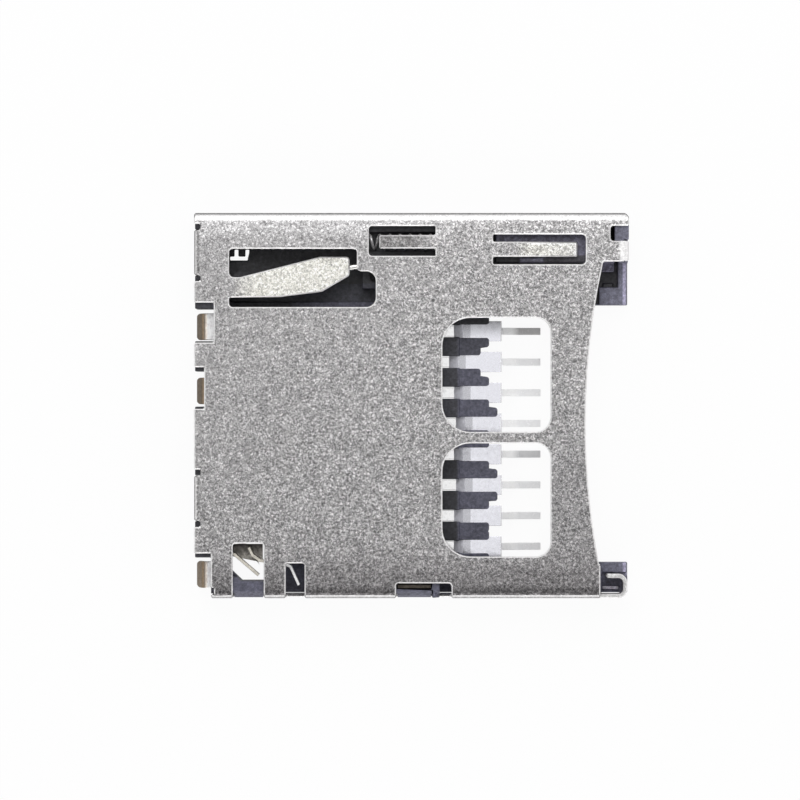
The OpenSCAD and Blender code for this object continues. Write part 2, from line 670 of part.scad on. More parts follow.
module rear_nail(y) {
    color("#b98a4a") rear_tail_solid(y - nail_w / 2, y + nail_w / 2, 0);
}

// Places in the hatch, as shares of its length
function in_hatch(x, y) = [hatch_x0 + x * hatch_len, rail_in_y + y * hatch_len];

// Fixed contact of the card switch: a rear tail and an upright blade across the hatch
module switch_contact_solid(grow) {
    t = blade_t + 2 * grow;
    root = [stop_x - 0.3, rail_in_y + 0.4];
    rear_tail_solid(switch_tail_y - nail_w / 2, switch_tail_y + nail_w / 2, grow);
    raised(0.5, blade_z + 0.1) polygon(ribbon([root, root + [0.2, 0.04]], t));
    raised(blade_z, blade_z + blade_h)
        polygon(ribbon(bent([root, in_hatch(0, 0.76), in_hatch(0.82, 0.055)], 0.1), t));
}

module switch_contact() {
    color("#c2a05f") switch_contact_solid(0);
}

// Lever of the card switch: a plate with a solder foot, and a sprung blade that reaches the card
module switch_lever_solid(grow) {
    t = blade_t + 2 * grow;
    plate_z = [card_floor - blade_t - 0.05 - grow, card_floor - 0.05 + grow];
    low = in_hatch(0.1, 0.46);
    high = in_hatch(0.94, 1.05);
    bend = in_hatch(0.62, 0.71);
    path = bent([in_hatch(0.5, 0.96), bend, in_hatch(0.87, 0.53),
        [tip_slot_x0 + 0.02, rail_in_y + lever_reach], [tip_slot_x0 + 0.16, rail_in_y + lever_reach - 0.05],
        [tip_slot_x0 + 0.46, rail_in_y - 0.49 * rail_w]], 0.1);
    raised(plate_z[0], plate_z[1]) polygon([[stop_x - 0.2 - grow, low.y + 0.32], [high.x - 0.09, low.y],
        [high.x, low.y + 0.09], [high.x, high.y], [stop_x - 0.2 - grow, high.y]]);
    block([low.x, low.x + 0.3], [high.y - 0.15, high.y], [0, plate_z[0] + 0.05]);
    raised(plate_z[0] + 0.03, blade_z + 0.1) polygon(ribbon([in_hatch(0.5, 0.96), bend], t));
    raised(blade_z, blade_z + blade_h) polygon(ribbon(path, t));
}

module switch_lever() {
    color("#b9a98a") switch_lever_solid(0);
}

// Upright nail beside the side lug, soldered to the board with its narrow end
module side_nail_solid(grow) {
    half = rear_tail_t / 2 + grow;
    x = side_nail_x + [-grow, grow];
    across(side_nail_y - half, side_nail_y + half) polygon([[x[0] + 0.25, -grow], [x[1] - 0.25, -grow],
        [x[1] - 0.25, 0.35], [x[1], 0.45], [x[1], 1.3], [x[0], 1.3], [x[0], 0.45], [x[0] + 0.25, 0.35]]);
}

module side_nail() {
    color("#b98a4a") side_nail_solid(0);
}

// Cam groove: two lanes around a heart shaped island, open to each other at both ends
module cam_groove() {
    low_y = lane_y - lane_shift;
    x0 = pin_x - lane_end;
    x1 = pin_x + slider_travel + lane_end;
    latch_x = pin_x + slider_travel - 0.4 - lane_r;
    raised(groove_z, cam_top + cut) difference() {
        window([x0, x1], [low_y - lane_side, lane_y + lane_side], lane_r, lane_r);
        polygon([[pin_x + 0.75, lane_y - lane_shift / 2 + 0.02], [pin_x + 1.15, lane_y - lane_r - 0.02],
            [latch_x + 0.2, lane_y - lane_r - 0.02], [latch_x - 0.06, lane_y - lane_shift / 2],
            [latch_x + 0.1, low_y + lane_r + 0.01], [pin_x + 1.15, low_y + lane_r + 0.01]]);
    }
}

module slider() {
    rib_top = cover_under - 0.08;
    channel_y0 = spring_y - channel_w / 2;
    channel_y1 = spring_y + channel_w / 2;
    color("#34333f") difference() {
        union() {
            // Nose beside the wide part of the card
            block([hook_x - 0.1, slider_front], [nose_y0, slider_y1], [slider_z0, nose_top]);
            block([slider_front - 1.3, slider_front], [nose_y0 - 0.32, nose_y0 + 1], [slider_z0, card_floor]);
            block([hook_x + 0.77, hook_x + 1.58], [nose_y0, nose_y0 + 0.15], [card_floor, rib_top]);
            // Cam section with the hook that the shoulder of the card pushes
            block([slider_rear, hook_x], [cam_y0, slider_y1], [slider_z0, cam_top]);
            block([hook_x - 0.7, hook_x], [nose_high_y + 0.08, cam_y0 + 0.1], [slider_z0, cam_top]);
            // Wall beside the spring and the seat in front of it
            block([slider_rear, hook_x], [channel_y1, slider_y1], [slider_z0, nose_top]);
            block([spring_seat_x, hook_x - 0.3], [channel_y0, slider_y1], [slider_z0, spring_top]);
        }
        cam_groove();
        block([slider_rear - 1, spring_seat_x], [channel_y0, channel_y1], [spring_z - channel_w / 2, 3]);
        block([slider_front - front_step, mouth_x], [tab_y1 - 0.03, housing_y], [-1, 3]);
    }
}

// Turns from the rear wall to the slider, closed at both ends
module eject_spring() {
    sides = 6;
    steps = 12;
    rings = spring_turns * steps;
    coil_r = spring_r - spring_wire / 2;
    dead = spring_wire * 1.1;
    pitch = (spring_x1 - spring_x0 - spring_wire - 2 * dead) / (spring_turns - 2);
    function advance(turn) = min(turn, 1) * dead + max(0, min(turn, spring_turns - 1) - 1) * pitch
        + max(0, turn - spring_turns + 1) * dead;
    function angle(turn) = 360 * turn + spring_phase;
    function out(turn) = [0, cos(angle(turn)), sin(angle(turn))];
    around = coil_r * 2 * PI;
    function run(turn) = unit([pitch, -around * sin(angle(turn)), around * cos(angle(turn))]);
    points = [for (k = [0 : rings]) for (s = [0 : sides - 1])
        [spring_x0 + spring_wire / 2 + advance(k / steps), spring_y, spring_z]
        + out(k / steps) * (coil_r + spring_wire / 2 * cos(360 * s / sides))
        + cross(run(k / steps), out(k / steps)) * spring_wire / 2 * sin(360 * s / sides)];
    bands = [for (k = [0 : rings - 1]) for (s = [0 : sides - 1])
        let (a = k * sides + s)
        let (b = k * sides + (s + 1) % sides)
        each [[a, b, b + sides], [a, b + sides, a + sides]]];
    start_cap = [for (s = [1 : sides - 2]) [0, s + 1, s]];
    last = rings * sides;
    end_cap = [for (s = [1 : sides - 2]) [last, last + s, last + s + 1]];
    color("#8f8f96") polyhedron(points, concat(bands, start_cap, end_cap));
}

// Wire staple with one foot in the housing and its tip in the cam groove
module cam_pin() {
    bend = pin_d * 0.75;
    color("#a9a49a") translate([pivot_x, pivot_y, 0]) rotate([0, 0, pin_angle]) {
        translate([0, 0, slider_floor + slide_gap])
            cylinder(h = pin_z - bend - slider_floor - slide_gap, r = pin_r, $fn = 32);
        translate([bend, 0, pin_z - bend]) rotate([90, 0, 180]) elbow(bend);
        translate([bend, 0, pin_z]) rotate([0, 90, 0])
            cylinder(h = pin_reach - 2 * bend, r = pin_r, $fn = 32);
        translate([pin_reach - bend, 0, pin_z - bend]) rotate([90, 0, 0]) elbow(bend);
        translate([pin_reach, 0, pin_leg_z]) cylinder(h = pin_z - bend - pin_leg_z, r = pin_r, $fn = 32);
    }
}

// Quarter turn of the pin wire
module elbow(bend) {
    rotate_extrude(angle = 90, $fn = 48) translate([bend, 0]) circle(pin_r, $fn = 32);
}

cover();
housing();
slider();
eject_spring();
cam_pin();
contact(0);  // contact_1
contact(1);  // contact_2
contact(2);  // contact_3
contact(3);  // contact_4
contact(4);  // contact_5
contact(5);  // contact_6
contact(6);  // contact_7
contact(7);  // contact_8
switch_lever();
switch_contact();
rear_nail(rear_nails[0]);  // rear_nail_1
rear_nail(rear_nails[1]);  // rear_nail_2
side_nail();
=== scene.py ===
import math

import bmesh
import bpy
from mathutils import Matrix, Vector


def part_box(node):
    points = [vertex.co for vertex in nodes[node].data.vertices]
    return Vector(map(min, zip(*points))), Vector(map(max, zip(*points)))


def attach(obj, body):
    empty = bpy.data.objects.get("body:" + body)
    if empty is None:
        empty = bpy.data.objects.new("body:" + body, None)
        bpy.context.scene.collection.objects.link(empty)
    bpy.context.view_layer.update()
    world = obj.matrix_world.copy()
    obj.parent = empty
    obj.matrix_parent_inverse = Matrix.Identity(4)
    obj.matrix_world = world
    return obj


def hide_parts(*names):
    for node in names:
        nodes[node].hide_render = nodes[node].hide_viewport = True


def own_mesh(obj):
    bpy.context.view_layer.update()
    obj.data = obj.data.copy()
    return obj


MM = 0.001

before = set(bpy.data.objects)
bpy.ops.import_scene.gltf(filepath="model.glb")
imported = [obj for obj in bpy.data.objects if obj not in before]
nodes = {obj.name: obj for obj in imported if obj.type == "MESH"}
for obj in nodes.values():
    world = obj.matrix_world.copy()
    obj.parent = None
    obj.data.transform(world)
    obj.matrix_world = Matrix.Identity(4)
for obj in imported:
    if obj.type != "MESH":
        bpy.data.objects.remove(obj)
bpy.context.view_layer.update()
scene = bpy.context.scene
scene.view_settings.view_transform = "Standard"


# Camera, straight above the part

LENS = 200.0
SENSOR_WIDTH = 36.0
VIEW_WIDTH = 28.4 * MM
COVER_TOP = 1.68 * MM
PHOTO_CENTRE = Vector((-0.41 * MM, 0.2 * MM, 0))

camera_data = bpy.data.cameras.new("camera")
camera_data.lens = LENS
camera_data.sensor_width = SENSOR_WIDTH
camera_data.clip_start = 0.001
camera_data.clip_end = 10
camera = bpy.data.objects.new("camera", camera_data)
scene.collection.objects.link(camera)
camera.location = PHOTO_CENTRE + Vector((0, 0, COVER_TOP + VIEW_WIDTH * LENS / SENSOR_WIDTH))
scene.camera = camera


# Helpers for node trees

def new_node(tree, kind, values=None, **settings):
    """Adds a node, with settings and input values by socket name"""
    node = tree.nodes.new(kind)
    for key, value in settings.items():
        setattr(node, key, value)
    for socket, value in (values or {}).items():
        node.inputs[socket].default_value = value
    return node


def feed(tree, value, socket):
    """Links a socket to another one, or gives it a number or a colour"""
    if isinstance(value, (int, float)):
        socket.default_value = value
    elif isinstance(value, tuple):
        socket.default_value = (*value, 1)
    else:
        tree.links.new(value, socket)


def calc(tree, operation, *operands):
    """A Math node; each operand is a socket or a number"""
    node = new_node(tree, "ShaderNodeMath", operation=operation)
    for socket, operand in zip(node.inputs, operands):
        feed(tree, operand, socket)
    return node.outputs[0]


def coordinates(tree, kind="Object"):
    """The X, Y and Z sockets of one kind of texture coordinate"""
    place = tree.nodes.new("ShaderNodeTexCoord")
    parts = tree.nodes.new("ShaderNodeSeparateXYZ")
    tree.links.new(place.outputs[kind], parts.inputs[0])
    return parts.outputs


def ramp(tree, value, start, end, low=0.0, high=1.0):
    """From low to high while the value goes from start to end"""
    node = tree.nodes.new("ShaderNodeMapRange")
    for name, given in (("Value", value), ("From Min", start), ("From Max", end), ("To Min", low), ("To Max", high)):
        feed(tree, given, node.inputs[name])
    return node.outputs[0]


def mm_ramp(tree, value, start, end, low=0.0, high=1.0):
    """A ramp with its start and end in millimetres"""
    return ramp(tree, value, start * MM, end * MM, low, high)


def between(tree, share, low, high):
    """Low where share is 0, high where it is 1"""
    return ramp(tree, share, 0.0, 1.0, low, high)


def blend_colours(tree, share, first, second):
    """First colour where share is 0, second where it is 1"""
    mix = new_node(tree, "ShaderNodeMix", data_type="RGBA")
    for value, socket in ((share, mix.inputs[0]), (first, mix.inputs[6]), (second, mix.inputs[7])):
        feed(tree, value, socket)
    return mix.outputs[2]


def tinted(tree, colour, shade):
    """The colour times a value that changes over the surface"""
    scaled = new_node(tree, "ShaderNodeVectorMath", {0: colour}, operation="SCALE")
    tree.links.new(shade, scaled.inputs["Scale"])
    return scaled.outputs[0]


def turned_up(tree, normal, share):
    """The normal turned towards +Z by a share"""
    mix = new_node(tree, "ShaderNodeMix", {5: (0, 0, 1)}, data_type="VECTOR")
    feed(tree, share, mix.inputs[0])
    tree.links.new(normal, mix.inputs[4])
    return mix.outputs[1]


def colour_ramp(tree, stops):
    node = tree.nodes.new("ShaderNodeValToRGB")
    elements = node.color_ramp.elements
    for element, (position, colour) in ((elements[0], stops[0]), (elements[1], stops[-1])):
        element.position = position
        element.color = colour
    for position, colour in stops[1:-1]:
        elements.new(position).color = colour
    return node


def grey(level):
    return (level, level, level, 1)


# Shader groups

def make_group(name, inputs, outputs):
    """An empty shader group with its named sockets; an input is (name, default)"""
    tree = bpy.data.node_groups.new(name, "ShaderNodeTree")
    for socket, default in inputs:
        item = tree.interface.new_socket(socket, in_out="INPUT", socket_type="NodeSocketFloat")
        item.default_value = default
    for socket, kind in outputs:
        tree.interface.new_socket(socket, in_out="OUTPUT", socket_type=kind)
    return tree, tree.nodes.new("NodeGroupInput").outputs, tree.nodes.new("NodeGroupOutput").inputs


def place_group(tree, group, values):
    """Places a group in a tree, with values for some of its inputs"""
    node = tree.nodes.new("ShaderNodeGroup")
    node.node_tree = group
    for socket, value in values.items():
        node.inputs[socket].default_value = value
    return node


GRAIN_HEIGHT = 0.012 * MM


def make_sheet_grain():
    """Blasted grain of the rolled sheet: fine pits with brighter crests"""
    tree, given, out = make_group(
        "sheet grain",
        [("Scale", 9000.0), ("Warp", 0.5), ("Depth", 1.0), ("Contrast", 1.0)],
        [("Shade", "NodeSocketFloat"), ("Polish", "NodeSocketFloat"), ("Normal", "NodeSocketVector")])
    link = tree.links.new
    place = tree.nodes.new("ShaderNodeTexCoord")
    fine = new_node(tree, "ShaderNodeTexNoise", {"Detail": 3.0, "Roughness": 0.72})
    coarse = new_node(tree, "ShaderNodeTexNoise", {"Detail": 2.0, "Roughness": 0.6})
    link(given["Scale"], fine.inputs["Scale"])
    link(given["Warp"], fine.inputs["Distortion"])
    link(calc(tree, "MULTIPLY", given["Scale"], 0.3), coarse.inputs["Scale"])
    for texture in (fine, coarse):
        link(place.outputs["Object"], texture.inputs["Vector"])
    both = calc(tree, "MULTIPLY_ADD", coarse.outputs["Fac"], 0.2, fine.outputs["Fac"])
    spread = ramp(tree, both, 0.4, 0.8, -1.0, 1.0)
    spread.node.clamp = False
    bounded = new_node(tree, "ShaderNodeClamp", {"Min": 0.15, "Max": 2.3})
    link(calc(tree, "POWER", 3.0, calc(tree, "MULTIPLY", spread, given["Contrast"])), bounded.inputs[0])
    bump = new_node(tree, "ShaderNodeBump", {"Distance": 1.0})
    link(given["Depth"], bump.inputs["Strength"])
    link(calc(tree, "MULTIPLY", both, GRAIN_HEIGHT), bump.inputs["Height"])
    link(bounded.outputs[0], out["Shade"])
    link(ramp(tree, spread, -1.0, 1.0, 0.12, -0.08), out["Polish"])
    link(bump.outputs[0], out["Normal"])
    return tree


def make_bend_polish_and_highlight():
    """1 on the bends, which take the die's polish and a painted highlight: early towards +X and +Y, later on the other
    sides, not on the walls
    """
    tree, _, out = make_group("bend polish and highlight", [], [("Bend", "NodeSocketFloat")])
    facing = coordinates(tree, "Normal")
    up = calc(tree, "ABSOLUTE", facing["Z"])
    early = ramp(tree, calc(tree, "MAXIMUM", facing["X"], facing["Y"]), 0.01, 0.3)
    late = ramp(tree, up, 0.82, 0.74)
    off_wall = ramp(tree, up, 0.5, 0.68)
    tree.links.new(calc(tree, "MULTIPLY", calc(tree, "MAXIMUM", early, late), off_wall), out["Bend"])
    return tree


FLAT_TOP_EDGE = 6.6 * MM


def make_edge_roll():
    """Height of the flat top, which rolls off a little along its two long edges"""
    tree, given, out = make_group("edge roll", [("Reach", 0.0009), ("Drop", 0.00004), ("More at -Y", 1.0)],
                                  [("Height", "NodeSocketFloat")])
    across = coordinates(tree)["Y"]
    inner = calc(tree, "SUBTRACT", FLAT_TOP_EDGE, given["Reach"])
    share = calc(tree, "DIVIDE", calc(tree, "SUBTRACT", calc(tree, "ABSOLUTE", across), inner), given["Reach"])
    share.node.use_clamp = True
    more = calc(tree, "MULTIPLY_ADD", calc(tree, "LESS_THAN", across, 0.0), given["More at -Y"], 1.0)
    fall = calc(tree, "MULTIPLY", calc(tree, "POWER", share, 2.0), calc(tree, "MULTIPLY", given["Drop"], more))
    tree.links.new(calc(tree, "MULTIPLY", fall, -1.0), out["Height"])
    return tree


def make_zone():
    """1 inside a box seen from above, with a soft start and end along X"""
    tree, given, out = make_group(
        "zone seen from above",
        [("Start", 0.0), ("Full", 0.001), ("Last", 0.002), ("End", 0.003), ("Low Y", 0.0), ("High Y", 0.001)],
        [("Inside", "NodeSocketFloat")])
    place = coordinates(tree)
    inside = calc(tree, "MULTIPLY", ramp(tree, place["X"], given["Start"], given["Full"]),
                  ramp(tree, place["X"], given["End"], given["Last"]))
    for test, edge in (("GREATER_THAN", "Low Y"), ("LESS_THAN", "High Y")):
        inside = calc(tree, "MULTIPLY", inside, calc(tree, test, place["Y"], given[edge]))
    tree.links.new(inside, out["Inside"])
    return tree


sheet_grain = make_sheet_grain()
bend_polish_and_highlight = make_bend_polish_and_highlight()
edge_roll = make_edge_roll()
zone_above = make_zone()


def zone(tree, start, full, last, end, low_y, high_y):
    """1 inside a zone that is given in millimetres"""
    values = zip(("Start", "Full", "Last", "End", "Low Y", "High Y"), (start, full, last, end, low_y, high_y))
    return place_group(tree, zone_above, {name: value * MM for name, value in values}).outputs["Inside"]


def zoned(tree, tint, zones):
    """The tint with another colour in each zone; a later zone lies over the ones before it"""
    for area, colour in zones:
        tint = blend_colours(tree, zone(tree, *area), tint, colour)
    return tint


# Finishes

def start_material(name, values):
    """A material with its Principled shader, whose constant values sit on the shader's own sockets"""
    material = bpy.data.materials.new(name)
    material.use_nodes = True
    tree = material.node_tree
    tree.nodes.clear()
    out = tree.nodes.new("ShaderNodeOutputMaterial")
    shader = new_node(tree, "ShaderNodeBsdfPrincipled", values)
    tree.links.new(shader.outputs[0], out.inputs["Surface"])
    return material, tree, shader


def grain_of(scale, warp, depth, contrast):
    """Values for one use of the sheet grain group"""
    return {"Scale": scale, "Warp": warp, "Depth": depth, "Contrast": contrast}


def grained(name, colour, roughness, metallic, grain_values):
    """A finish whose shade, gloss and relief follow the grain"""
    material, tree, shader = start_material(name, {"Metallic": metallic})
    grain = place_group(tree, sheet_grain, grain_values)
    tree.links.new(tinted(tree, colour, grain.outputs["Shade"]), shader.inputs["Base Color"])
    tree.links.new(calc(tree, "ADD", grain.outputs["Polish"], roughness), shader.inputs["Roughness"])
    tree.links.new(grain.outputs["Normal"], shader.inputs["Normal"])
    return material, tree, shader, grain


def recolour(tree, shader, tint):
    """Feeds a tint to the node that scales the colour of a grained finish"""
    tree.links.new(tint, shader.inputs["Base Color"].links[0].from_node.inputs[0])


def zoned_finish(name, roughness, metallic, grain_values, tint, zones):
    """A grained finish with colours of its own in some zones"""
    material, tree, shader, _ = grained(name, (1, 1, 1), roughness, metallic, grain_values)
    recolour(tree, shader, zoned(tree, tint, zones))
    return material


def two_tone_finish(name, roughness, metallic, grain_values, start, end, first, second):
    """A grained finish that goes from one colour to another along Y, in millimetres"""
    material, tree, shader, _ = grained(name, (1, 1, 1), roughness, metallic, grain_values)
    recolour(tree, shader, blend_colours(tree, mm_ramp(tree, coordinates(tree)["Y"], start, end), first, second))
    return material


def metal(name, colour, roughness, scale, warp, depth, contrast):
    return grained(name, colour, roughness, 1.0, grain_of(scale, warp, depth, contrast))[0]


MOULD_GRAIN = grain_of(9000.0, 0.3, 0.8, 0.45)


def moulded(name, colour, roughness):
    return grained(name, colour, roughness, 0.0, MOULD_GRAIN)[0]


# painted sheen for the leaf and the finger, painted shade for the tongue, painted highlights for the finger's rims
LEAF_PAINTED_SHEEN = (0.76, 0.745, 0.68)
FINGER_PAINTED_SHEEN = (0.7, 0.685, 0.635)
TONGUE_PAINTED_SHADE = (0.24, 0.235, 0.235)
RIM_PAINTED_HIGHLIGHT = (1.0, 0.99, 0.97)
# white tin for painted highlights on the contacts' strips and feet and on the switch blade
WHITE_TIN_HIGHLIGHT = (1.0, 1.0, 1.0)


def folded_sheet():
    """Grained sheet: bends with the die's polish and a painted highlight, long edges that roll off, painted shade
    towards the far edge and one corner, painted light near the +Y bend, and leaves with painted sheen and shade
    """
    material, tree, shader, grain = grained("cover sheet, grained", (1, 1, 1), 0.42, 1.0,
                                            grain_of(12500.0, 0.9, 1.0, 1.0))
    link = tree.links.new
    scaled = shader.inputs["Base Color"].links[0].from_node
    place = coordinates(tree)
    on_top = ramp(tree, coordinates(tree, "Normal")["Z"], 0.6, 0.75)
    far_edge_shade = mm_ramp(tree, place["Y"], -4.2, -6.5)
    far_edge_shade.node.interpolation_type = "SMOOTHSTEP"
    last_edge_shade = mm_ramp(tree, place["Y"], -6.36, -6.62)
    low_corner_shade = calc(tree, "MULTIPLY", mm_ramp(tree, place["Y"], -0.8, -2.4), mm_ramp(tree, place["X"], 4.3, 5.3))
    near_bend_light = calc(tree, "MULTIPLY", mm_ramp(tree, place["Y"], 5.95, 6.2), mm_ramp(tree, place["X"], 2.0, -1.0))

    coarser = mm_ramp(tree, calc(tree, "SUBTRACT", place["X"], place["Y"]), -9, -1, 0.8, 1.13)
    link(calc(tree, "MULTIPLY", coarser, between(tree, on_top, 0.5, 1.0)), grain.inputs["Contrast"])

    # painted shade: darker towards the far -Y edge, darkest at its last edge, darker at a low corner; painted light:
    # lighter near the +Y bend. Only the flat top takes them
    tint = (0.41, 0.402, 0.405)
    for edge, shade in ((low_corner_shade, (0.35, 0.342, 0.346)), (near_bend_light, (0.48, 0.472, 0.476)),
                        (far_edge_shade, (0.3, 0.29, 0.294)), (last_edge_shade, (0.13, 0.125, 0.127))):
        tint = blend_colours(tree, calc(tree, "MULTIPLY", edge, on_top), tint, shade)
    # painted sheen on the leaf and the finger, painted highlights along the finger's rims, painted shade on the tongue
    # that slopes away from the light
    tint = zoned(tree, tint, (((-6.35, -5.4, -2.15, -2.1, 3.83, 5.31), LEAF_PAINTED_SHEEN),
                              ((3.7, 4.3, 5.89, 5.91, 5.28, 5.83), FINGER_PAINTED_SHEEN),
                              ((3.9, 4.3, 5.95, 5.96, 5.72, 5.83), RIM_PAINTED_HIGHLIGHT),
                              ((5.77, 5.79, 5.95, 5.96, 5.28, 5.83), RIM_PAINTED_HIGHLIGHT),
                              ((-1.2, -1.16, 0.1, 0.7, 5.55, 6.08), TONGUE_PAINTED_SHADE)))
    link(tint, scaled.inputs[0])

    # the bends and the mouth tab take a lighter colour, the die's polish with a painted highlight, greyer towards the
    # far -Y edge as painted shade
    mouth_tab_highlight = zone(tree, 7.36, 7.43, 7.8, 7.9, 5.1, 5.85)
    bend = calc(tree, "MAXIMUM", place_group(tree, bend_polish_and_highlight, {}).outputs["Bend"], mouth_tab_highlight)
    polish_and_highlight = tinted(tree, (1, 1, 1), calc(tree, "POWER", grain.outputs["Shade"], 0.22))
    link(blend_colours(tree, far_edge_shade, (0.88, 0.87, 0.87), (0.74, 0.73, 0.73)), polish_and_highlight.node.inputs[0])
    link(blend_colours(tree, bend, scaled.outputs[0], polish_and_highlight), shader.inputs["Base Color"])
    lustre = calc(tree, "MULTIPLY", between(tree, bend, 1.0, 0.75), between(tree, mouth_tab_highlight, 1.0, 0.2))
    link(lustre, shader.inputs["Metallic"])

    roll = place_group(tree, edge_roll, {"Reach": 1.1 * MM, "Drop": 0.05 * MM, "More at -Y": 0.8})
    rolled = new_node(tree, "ShaderNodeBump", {"Strength": 1.0, "Distance": 1.0})
    link(roll.outputs["Height"], rolled.inputs["Height"])
    link(grain.outputs["Normal"], rolled.inputs["Normal"])
    link(rolled.outputs[0], shader.inputs["Normal"])
    return material


def sheared_edge():
    """Rolled upper rim of a cut: cut metal made whiter as a painted highlight, bright from above all the way round"""
    material, tree, shader, grain = grained("cover sheet, sheared edge", (1.0, 0.99, 0.97), 0.32, 0.35,
                                            grain_of(9000.0, 0.3, 0.15, 0.06))
    upper = ramp(tree, coordinates(tree, "Normal")["Z"], 0.2, 0.5, high=0.7)
    tree.links.new(turned_up(tree, grain.outputs["Normal"], upper), shader.inputs["Normal"])
    return material


def plated_contact():
    """Contact tin, less metallic on the soldered feet, with painted shade on the first contact and on two feet and a
    painted highlight band where the feet begin
    """
    material, tree, shader, _ = grained("contact tin", (1, 1, 1), 0.2, 1.0, grain_of(6000.0, 0.2, 0.05, 0.04))
    # painted shadow of the window's edge on the first contact, then a painted highlight band where the feet begin and
    # painted shade on two of the feet
    first_contact_shade = mm_ramp(tree, coordinates(tree)["Y"], 2.4, 3.05)
    plates = blend_colours(tree, first_contact_shade, (0.9, 0.9, 0.96), (0.3, 0.3, 0.32))
    recolour(tree, shader, zoned(tree, plates, (((3.15, 3.3, 9, 9.1, -9, 2.3), WHITE_TIN_HIGHLIGHT),
                                                ((3.6, 3.9, 9, 9.1, -9, 2.3), (0.9, 0.9, 0.91)),
                                                ((3.6, 3.9, 9, 9.1, -2.2, -1.2), (0.64, 0.64, 0.65)),
                                                ((3.15, 3.3, 9, 9.1, 2.3, 9), WHITE_TIN_HIGHLIGHT),
                                                ((3.6, 3.85, 9, 9.1, 2.3, 9), (0.56, 0.552, 0.55)))))
    feet = zone(tree, 3.15, 3.25, 9, 9.1, -9, 9)
    tree.links.new(between(tree, feet, 1.0, 0.08), shader.inputs["Metallic"])
    return material


def slope_shaded_tin():
    """Tin on the slope of a contact, greyer as painted shade, brushed along it so that it catches the light from above
    """
    material, tree, shader, grain = grained("contact tin, painted shade on the slope", (0.58, 0.58, 0.63), 0.35, 0.6,
                                            grain_of(9000.0, 0.4, 0.3, 0.12))
    tree.links.new(turned_up(tree, grain.outputs["Normal"], 0.85), shader.inputs["Normal"])
    return material


cover_sheet = folded_sheet()
cover_cut = sheared_edge()
contact_tin = plated_contact()
bend_tin = slope_shaded_tin()
# white tin on the low strips beside the slopes, as a painted highlight
strip_highlight_tin = metal("tin, painted highlight", WHITE_TIN_HIGHLIGHT, 0.1, 9000.0, 0.3, 0.02, 0.05)
guard_finish = metal("guard, top edge", (0.72, 0.72, 0.71), 0.36, 9000.0, 0.6, 0.6, 0.35)
# thin gold, with a painted highlight that turns it nearly white towards the housing
tail_gold_highlit = zoned_finish("rear tail, gold with painted highlight", 0.36, 1.0, grain_of(9000.0, 0.4, 0.4, 0.2), (0.26, 0.2, 0.142),
                         (((-7.42, -7.35, 0.0, 1.0, -9, 9), (0.95, 0.84, 0.74)),
                          ((-7.35, -7.26, 0.0, 1.0, -9, 9), (1.0, 0.985, 0.99))))
nail_gold = metal("side nail, thin gold", (0.12, 0.105, 0.09), 0.4, 9000.0, 0.4, 0.4, 0.3)
# painted shadow of the cover: darker under the cover, lighter towards the edge
lever_plate = two_tone_finish("switch lever plate, painted shade", 0.4, 0.8, grain_of(7000.0, 0.6, 0.4, 0.4),
                              -4.98, -5.4, (0.09, 0.08, 0.075), (0.42, 0.4, 0.37))
# painted highlight: white tin where the lever reaches the card
blade_gilt = zoned_finish("switch blade, thin gilt", 0.3, 0.8, grain_of(9000.0, 0.3, 0.1, 0.12), (0.72, 0.68, 0.6),
                          (((-4.85, -4.75, -3, -2, -9, 0), WHITE_TIN_HIGHLIGHT),))
# painted highlight: bright on the side away from the card, darker on the side towards it
spring_wire = two_tone_finish("eject spring wire", 0.28, 0.5, grain_of(9000.0, 0.3, 0.2, 0.1),
                              5.82, 5.98, (0.45, 0.44, 0.45), (1.0, 0.99, 1.0))
pin_wire = metal("cam pin wire", (0.8, 0.79, 0.76), 0.28, 9000.0, 0.3, 0.2, 0.1)
# painted light on the ledges at the mouth, painted shade in the recesses, along the rear edge, beside the leaf and at
# the roots of the fingers
housing_plastic = zoned_finish("housing plastic", 0.5, 0.0, MOULD_GRAIN, (0.09, 0.09, 0.126),
                               (((6.5, 7.1, 9.0, 9.1, -9, 9), (0.15, 0.15, 0.2)),
                                ((-9, -8, -7.1, -7.0, -9, 9), (0.03, 0.03, 0.038)),
                                ((-6.7, -6.6, -4.4, -3.6, 3.3, 3.72), (0.03, 0.03, 0.038)),
                                ((1.0, 1.05, 3.2, 3.25, 1.69, 2.64), (0.066, 0.066, 0.09)),
                                ((1.0, 1.05, 3.2, 3.25, 2.64, 3.4), (0.024, 0.024, 0.029)),
                                ((-1.0, -0.9, 1.6, 1.7, -0.5, 2.64), (0.04, 0.04, 0.05)),
                                ((-1.0, -0.9, 1.6, 1.7, -5.6, -0.5), (0.024, 0.024, 0.03))))
# painted shade, with a painted bluish sheen beside the tip of the leaf
shaded_plastic = zoned_finish("plastic, painted shade", 0.45, 0.0, MOULD_GRAIN, (0.028, 0.028, 0.034),
                               (((-4.3, -3.3, 0.0, 0.2, 3.2, 4.35), (0.042, 0.043, 0.06)),))
# painted highlight on the ledge inside the guard
ledge_highlight = moulded("ledge inside the guard, painted highlight", (0.75, 0.72, 0.82), 0.4)
# painted shade under the finger of the cover: black towards the rear, dark towards the mouth, the plain colour between
slider_plastic = zoned_finish("slider plastic", 0.46, 0.0, grain_of(9000.0, 0.3, 0.8, 0.6), (0.125, 0.12, 0.17),
                              (((2.5, 2.6, 3.82, 3.86, 4.9, 5.35), (0.02, 0.02, 0.024)),
                               ((3.85, 3.86, 4.66, 4.7, 4.9, 5.35), (0.12, 0.117, 0.16)),
                               ((4.68, 4.72, 6.3, 6.4, 4.9, 5.35), (0.06, 0.056, 0.068))))
# painted highlight on the lead in at the mouth
lead_in_highlight = moulded("housing plastic, painted highlight on the lead in", (0.36, 0.34, 0.47), 0.42)


# Pieces with eased edges

